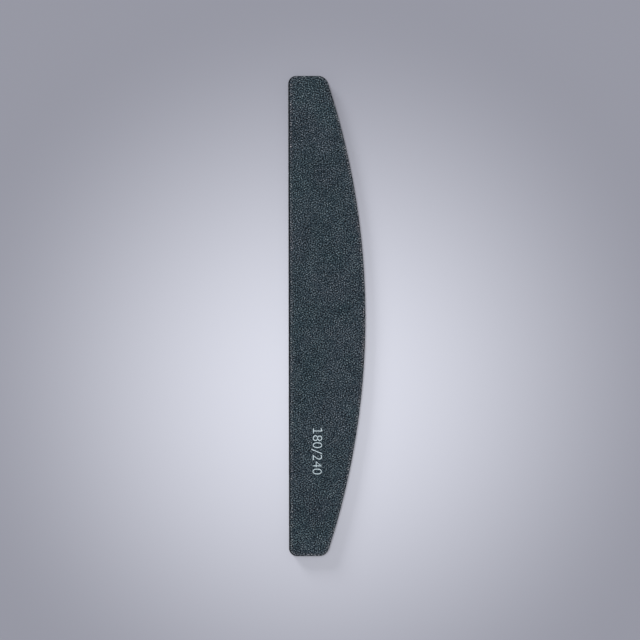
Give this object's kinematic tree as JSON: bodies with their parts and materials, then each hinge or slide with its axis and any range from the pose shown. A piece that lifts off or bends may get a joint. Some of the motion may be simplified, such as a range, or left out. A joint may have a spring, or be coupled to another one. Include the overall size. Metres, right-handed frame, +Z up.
{
  "type": "nail buffer",
  "caption": "Flat half-moon nail buffer with a straight edge and a curved edge: a stiff core between foam cushions, with an abrasive coat on each face.",
  "frame": {"origin": "on the table under the middle of the outline's box, with the buffer lying on its back face", "axes": "+Z up out of the front face, +Y along the length, +X from the straight edge towards the curved edge"},
  "size_m": [0.0284, 0.178, 0.004],
  "materials": {
    "core": "satin grey polystyrene board, die-cut edge",
    "film": "tacky acrylic adhesive film",
    "foam": "matte closed-cell foam with fine open pores on its cut edge",
    "paper": "black latex paper, fibrous at its cut edge",
    "grit": "rough charcoal silicon-carbide grains in resin"
  },
  "bodies": {
    "root": {"core_board": "core", "front_inner_film": "film", "back_inner_film": "film", "front_foam": "foam", "back_foam": "foam", "front_outer_film": "film", "back_outer_film": "film", "front_paper": "paper", "back_paper": "paper", "front_grit": "grit", "back_grit": "grit"}
  },
  "joints": []
}
